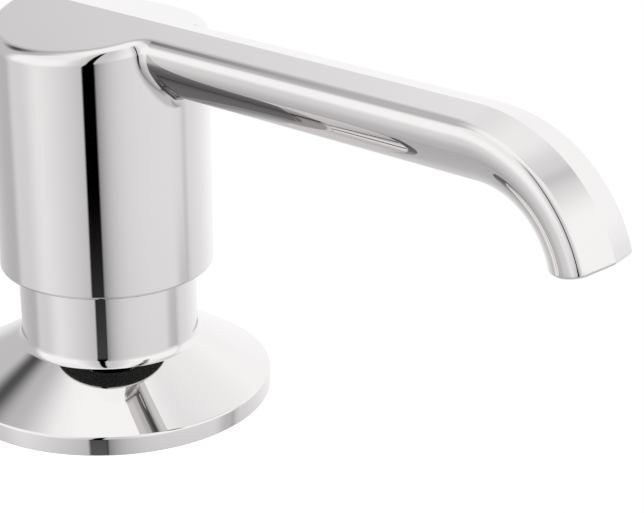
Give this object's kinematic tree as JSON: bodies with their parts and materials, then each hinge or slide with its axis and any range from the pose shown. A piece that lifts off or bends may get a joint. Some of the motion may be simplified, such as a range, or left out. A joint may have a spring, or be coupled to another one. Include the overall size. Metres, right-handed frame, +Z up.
{
  "type": "soap pump dispenser",
  "caption": "Deck-mounted soap pump: conical flange, sliding head with a gabled spout that bends down, spring pump, threaded shank, hand nut and bottle.",
  "frame": {"origin": "on the pump's axis in the plane of the deck, where the shank enters the deck's hole", "axes": "+Z up along the pump's axis, +X along the spout, +Y across it"},
  "size_m": [0.132, 0.066, 0.2501],
  "materials": {
    "chrome": "polished",
    "steel": "satin",
    "brass": "machined",
    "black_rubber": "matt",
    "dark_plastic": "fine grain",
    "white_plastic": "moulded",
    "natural_plastic": "translucent, moulded",
    "bottle_plastic": "translucent, blown"
  },
  "bodies": {
    "base": {"flange": "chrome", "flange_gasket": "black_rubber", "shank": "brass"},
    "pump": {"collar": "chrome", "glide_ring": "white_plastic", "seat_ring": "black_rubber", "pump_cap": "white_plastic", "stem_bush": "dark_plastic", "pump_housing": "natural_plastic", "housing_gasket": "black_rubber", "valve_cage": "white_plastic", "dip_tube": "natural_plastic", "return_spring": "steel"},
    "plunger": {"stem": "white_plastic", "stem_o_ring": "black_rubber", "piston": "white_plastic", "piston_seal": "natural_plastic"},
    "head": {"spout_head": "chrome", "head_insert": "white_plastic", "spout_tube": "natural_plastic", "nozzle_tip": "dark_plastic"},
    "inlet_valve": {"inlet_ball": "steel"},
    "outlet_valve": {"outlet_ball": "steel"},
    "washer": {"clamp_washer": "steel"},
    "nut": {"mounting_nut": "dark_plastic"},
    "soap_bottle": {"bottle": "bottle_plastic"}
  },
  "joints": [
    {"name": "pump_lift", "type": "slide", "parent": "base", "child": "pump", "axis": [0, 0, 1], "range_m": [0, 0.19]},
    {"name": "head_press", "type": "slide", "parent": "pump", "child": "plunger", "axis": [0, 0, -1], "range_m": [0, 0.01], "stiffness_N_per_m": 600, "springref_m": -0.012, "deforming": ["return_spring"]},
    {"name": "spout_swivel", "type": "hinge", "parent": "plunger", "child": "head", "pos_m": [0, 0, 0.047], "axis": [0, 0, 1], "continuous": true},
    {"name": "inlet_ball_lift", "type": "slide", "parent": "pump", "child": "inlet_valve", "axis": [0, 0, 1], "range_m": [0, 0.0015]},
    {"name": "outlet_ball_lift", "type": "slide", "parent": "plunger", "child": "outlet_valve", "axis": [0, 0, 1], "range_m": [0, 0.0012]},
    {"name": "washer_slide", "type": "slide", "parent": "base", "child": "washer", "axis": [0, 0, 1], "range_m": [-0.006, 0]},
    {"name": "nut_turn", "type": "hinge", "parent": "washer", "child": "nut", "pos_m": [0, 0, -0.0375], "axis": [0, 0, 1], "range_deg": [-720, 0]},
    {"name": "bottle_drop", "type": "slide", "parent": "base", "child": "soap_bottle", "axis": [0, 0, -1], "range_m": [0, 0.135]}
  ],
  "couplings": [
    {"joint": "washer_slide", "follows": "nut_turn", "m_per_rad": 0.00047746}
  ]
}
